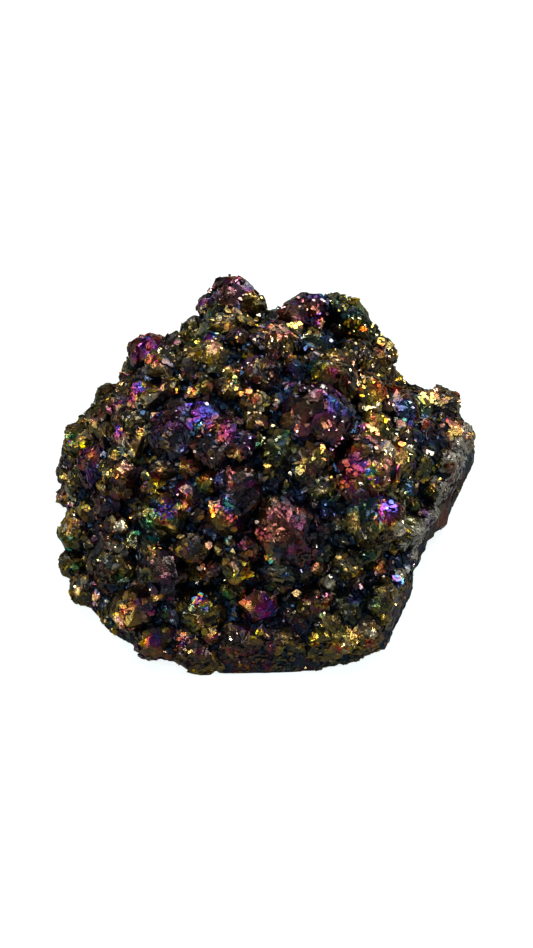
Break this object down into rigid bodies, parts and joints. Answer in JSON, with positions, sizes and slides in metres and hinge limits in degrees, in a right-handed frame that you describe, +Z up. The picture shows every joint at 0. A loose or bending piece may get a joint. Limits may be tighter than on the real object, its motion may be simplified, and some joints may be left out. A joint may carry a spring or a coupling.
{
  "type": "titanium aura quartz cluster",
  "caption": "Domed cluster of blunt quartz crystal heads with an iridescent metal coating, broken down one side and flat where it rests.",
  "frame": {"origin": "middle of the bounding box at the flat resting face", "axes": "+Z up from the resting face, -Y towards the display side, +X to the right as displayed"},
  "size_m": [0.11, 0.1034, 0.0568],
  "materials": {
    "aura_quartz": "glossy"
  },
  "bodies": {
    "root": {"quartz_cluster": "aura_quartz"}
  },
  "joints": []
}
